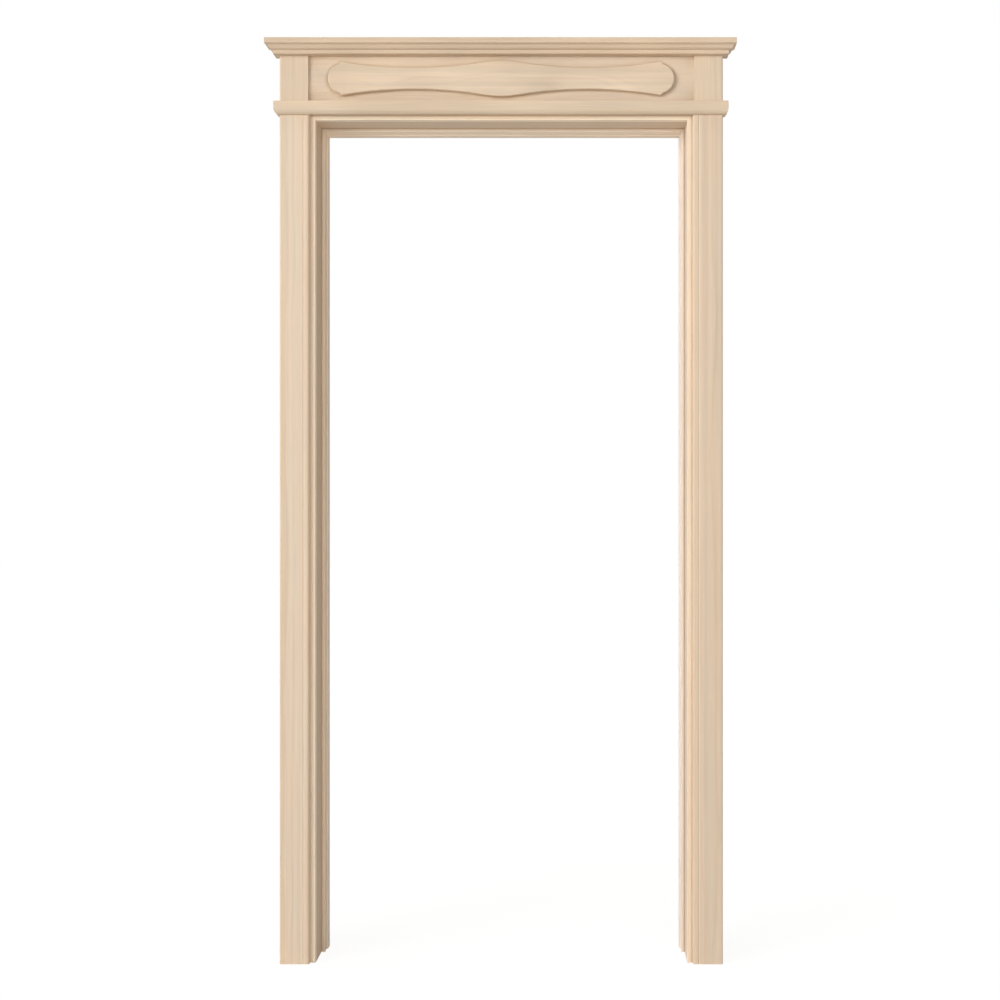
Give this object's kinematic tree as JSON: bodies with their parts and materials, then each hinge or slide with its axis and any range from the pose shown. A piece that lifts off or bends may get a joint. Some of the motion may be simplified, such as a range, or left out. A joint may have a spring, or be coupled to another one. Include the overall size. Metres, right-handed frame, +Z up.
{
  "type": "door frame",
  "caption": "Bare softwood interior door frame with beaded pilasters, a shaped ornament on its frieze, a moulded crown, and a rebated lining.",
  "frame": {"origin": "middle of the footprint, on the floor", "axes": "+X to the right across the doorway seen from the front, +Y from the front casing to the rear architraves, +Z up; the front faces -Y"},
  "size_m": [1.156, 0.221, 2.277],
  "materials": {
    "lining_wood": "planed and sanded softwood, bare",
    "stop_wood": "planed and sanded softwood, bare",
    "pilaster_wood": "planed and sanded softwood, bare",
    "moulding_wood": "machined and sanded softwood, bare",
    "header_wood": "planed and sanded softwood, bare",
    "ornament_wood": "shaped and sanded softwood, bare",
    "architrave_wood": "planed and sanded softwood, bare",
    "dowel_wood": "fluted hardwood dowel, bare",
    "screw_steel": "zinc plated"
  },
  "bodies": {
    "root": {"left_jamb": "lining_wood", "right_jamb": "lining_wood", "head_jamb": "lining_wood", "corner_screws": "screw_steel", "left_stop": "stop_wood", "right_stop": "stop_wood", "head_stop": "stop_wood", "left_pilaster": "pilaster_wood", "right_pilaster": "pilaster_wood", "left_inner_moulding": "moulding_wood", "right_inner_moulding": "moulding_wood", "head_inner_moulding": "moulding_wood", "lower_rail": "header_wood", "upper_rail": "header_wood", "left_frieze_block": "header_wood", "right_frieze_block": "header_wood", "header_dowels": "dowel_wood", "frieze_board": "header_wood", "frieze_ornament": "ornament_wood", "band_front": "moulding_wood", "left_band_return": "moulding_wood", "right_band_return": "moulding_wood", "crown_front": "moulding_wood", "left_crown_return": "moulding_wood", "right_crown_return": "moulding_wood", "left_rear_architrave": "architrave_wood", "right_rear_architrave": "architrave_wood", "head_rear_architrave": "architrave_wood"}
  },
  "joints": []
}
